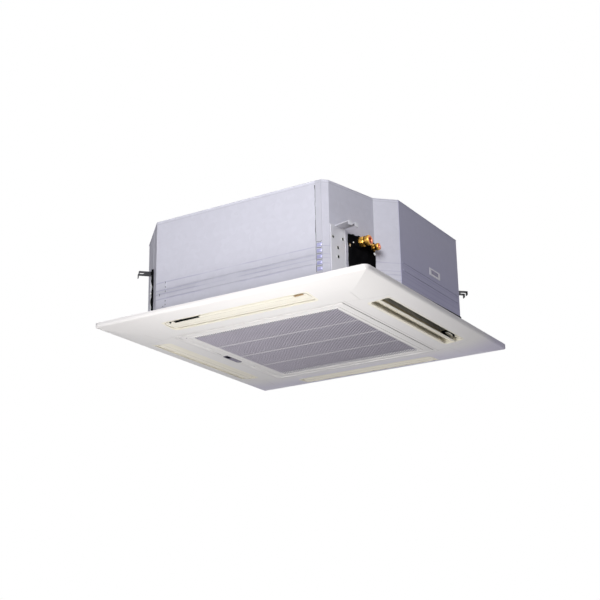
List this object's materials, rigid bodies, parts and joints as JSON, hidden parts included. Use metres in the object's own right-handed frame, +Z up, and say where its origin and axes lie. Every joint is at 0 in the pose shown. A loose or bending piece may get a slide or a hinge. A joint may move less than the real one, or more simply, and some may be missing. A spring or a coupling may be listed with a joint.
{
  "type": "ceiling cassette air conditioner",
  "caption": "Square ceiling cassette air conditioner: sheet casing with notched pipe corner and rod hangers over a crowned panel with hinged intake grille and outlet louvres.",
  "frame": {"origin": "middle of the four hanger slots, on the undersides of the hanger arms", "axes": "+Z up along the hanger rods, -Y front, +X right; the pipes leave at the front right corner"},
  "size_m": [0.95, 0.95, 0.3362],
  "materials": {
    "panel_white": "fine satin moulded plastic",
    "grille_grey": "satin moulded plastic",
    "ivory": "satin moulded plastic",
    "motor_beige": "moulded plastic",
    "acetal": "smooth moulded plastic",
    "filter_black": "moulded plastic",
    "net": "woven plastic net",
    "dark_window": "polished",
    "receiver_grey": "smooth plastic",
    "button_grey": "smooth plastic",
    "board_green": "coated board",
    "zinc_steel": "spangled zinc-coated sheet",
    "bracket_steel": "zinc plated",
    "screw_steel": "zinc plated",
    "foam_white": "expanded foam",
    "foam_grey": "closed-cell foam",
    "seal_black": "soft foam",
    "fin_aluminium": "thin pressed fins",
    "copper": "drawn copper",
    "nut_brass": "turned brass",
    "cover_black": "matt moulded plastic",
    "fan_plastic": "glass-filled plastic",
    "motor_steel": "stoved enamel",
    "mount_rubber": "moulded rubber",
    "pump_white": "moulded plastic",
    "box_steel": "zinc-coated sheet",
    "label_white": "printed film, bare"
  },
  "bodies": {
    "unit": {"panel_frame": "panel_white", "outlet_frame_front": "ivory", "outlet_frame_right": "ivory", "outlet_frame_back": "ivory", "outlet_frame_left": "ivory", "louvre_motor_front": "motor_beige", "louvre_motor_right": "motor_beige", "louvre_motor_back": "motor_beige", "louvre_motor_left": "motor_beige", "louvre_bushes": "acetal", "hinge_pins": "screw_steel", "receiver_housing": "receiver_grey", "receiver_window": "dark_window", "receiver_board": "board_green", "panel_gasket": "seal_black", "panel_screws": "screw_steel", "front_plate": "zinc_steel", "right_plate": "zinc_steel", "back_plate": "zinc_steel", "left_plate": "zinc_steel", "notch_plate": "zinc_steel", "top_plate": "zinc_steel", "wall_liner": "foam_grey", "drain_pan": "foam_white", "bell_mouth": "acetal", "fan_motor": "motor_steel", "motor_mounts": "mount_rubber", "coil_fins": "fin_aluminium", "coil_plates": "box_steel", "coil_tubes": "copper", "gas_pipe": "copper", "liquid_pipe": "copper", "flare_nuts": "nut_brass", "pipe_plate": "cover_black", "drain_pump": "pump_white", "drain_spout": "pump_white", "electric_box": "box_steel", "electric_cover": "box_steel", "circuit_board": "board_green", "terminal_block": "acetal", "hanger_front_left": "bracket_steel", "hanger_front_right": "bracket_steel", "hanger_back_right": "bracket_steel", "hanger_back_left": "bracket_steel", "fixing_screws": "screw_steel", "nameplate": "label_white"},
    "grille": {"intake_grille": "grille_grey", "filter_frame": "filter_black", "filter_mesh": "net"},
    "latch_front": {"grille_latch_front": "grille_grey"},
    "latch_back": {"grille_latch_back": "grille_grey"},
    "louvre_front_flap": {"louvre_front": "ivory"},
    "louvre_right_flap": {"louvre_right": "ivory"},
    "louvre_back_flap": {"louvre_back": "ivory"},
    "louvre_left_flap": {"louvre_left": "ivory"},
    "fan": {"impeller": "fan_plastic", "impeller_nut": "screw_steel"},
    "pump_wheel": {"pump_impeller": "acetal"},
    "float_ring": {"float": "pump_white"},
    "button": {"manual_button": "button_grey"}
  },
  "joints": [
    {"name": "grille_hinge", "type": "hinge", "parent": "unit", "child": "grille", "pos_m": [0.285, 0, -0.193], "axis": [0, -1, 0], "range_deg": [0, 85]},
    {"name": "latch_front_slide", "type": "slide", "parent": "grille", "child": "latch_front", "axis": [-1, 0, 0], "range_m": [0, 0.007]},
    {"name": "latch_back_slide", "type": "slide", "parent": "grille", "child": "latch_back", "axis": [-1, 0, 0], "range_m": [0, 0.007]},
    {"name": "louvre_right_pivot", "type": "hinge", "parent": "unit", "child": "louvre_right_flap", "pos_m": [0.3945, 0, -0.16], "axis": [0, -1, 0], "range_deg": [-17, 30]},
    {"name": "louvre_back_pivot", "type": "hinge", "parent": "unit", "child": "louvre_back_flap", "pos_m": [0, 0.3945, -0.16], "axis": [1, 0, 0], "range_deg": [-17, 30]},
    {"name": "louvre_left_pivot", "type": "hinge", "parent": "unit", "child": "louvre_left_flap", "pos_m": [-0.3945, 0, -0.16], "axis": [0, 1, 0], "range_deg": [-17, 30]},
    {"name": "louvre_front_pivot", "type": "hinge", "parent": "unit", "child": "louvre_front_flap", "pos_m": [0, -0.3945, -0.16], "axis": [-1, 0, 0], "range_deg": [-43, 4]},
    {"name": "fan_spin", "type": "hinge", "parent": "unit", "child": "fan", "pos_m": [0, 0, 0], "axis": [0, 0, 1], "continuous": true},
    {"name": "pump_spin", "type": "hinge", "parent": "unit", "child": "pump_wheel", "pos_m": [-0.3486, 0.28496, -0.11], "axis": [0, 0, 1], "continuous": true},
    {"name": "float_rise", "type": "slide", "parent": "unit", "child": "float_ring", "axis": [0, 0, 1], "range_m": [0, 0.04]},
    {"name": "button_push", "type": "slide", "parent": "unit", "child": "button", "axis": [0, 0, 1], "range_m": [0, 0.0015], "stiffness_N_per_m": 300}
  ]
}
